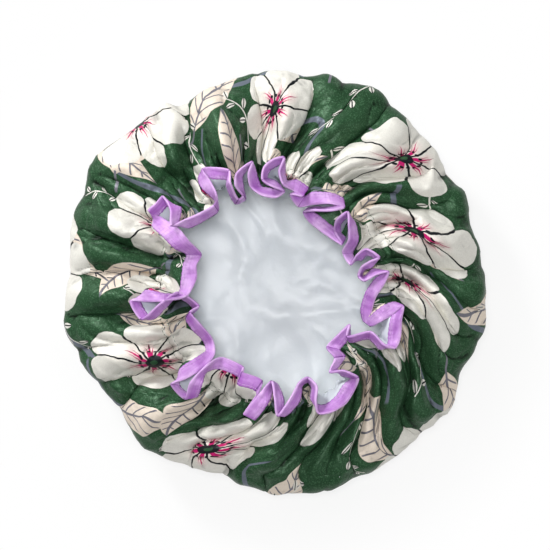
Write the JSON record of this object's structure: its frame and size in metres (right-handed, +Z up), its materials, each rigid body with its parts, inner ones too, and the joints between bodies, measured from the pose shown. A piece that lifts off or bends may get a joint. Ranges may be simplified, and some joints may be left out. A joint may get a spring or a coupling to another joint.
{
  "type": "shower cap",
  "caption": "Double-layer shower cap with a satin shell, soft lining and bound ruffle, lying on its crown with its elasticated opening up.",
  "frame": {"origin": "middle of the cap's footprint, on the surface that its flat crown rests on", "axes": "+Z up out of the opening; +Y towards the top edge of the picture and +X towards its right edge"},
  "size_m": [0.289, 0.2934, 0.0725],
  "materials": {
    "satin": "satin weave with a printed floral pattern",
    "lining": "soft translucent film with a pearly sheen",
    "elastic": "braided elastic",
    "binding": "satin bias binding",
    "green_thread": "sewing thread",
    "lilac_thread": "sewing thread"
  },
  "bodies": {
    "root": {"outer_satin_shell": "satin", "soft_lining": "lining", "elastic_band": "elastic", "edge_binding": "binding", "gather_stitching": "green_thread", "binding_stitching": "lilac_thread"}
  },
  "joints": []
}
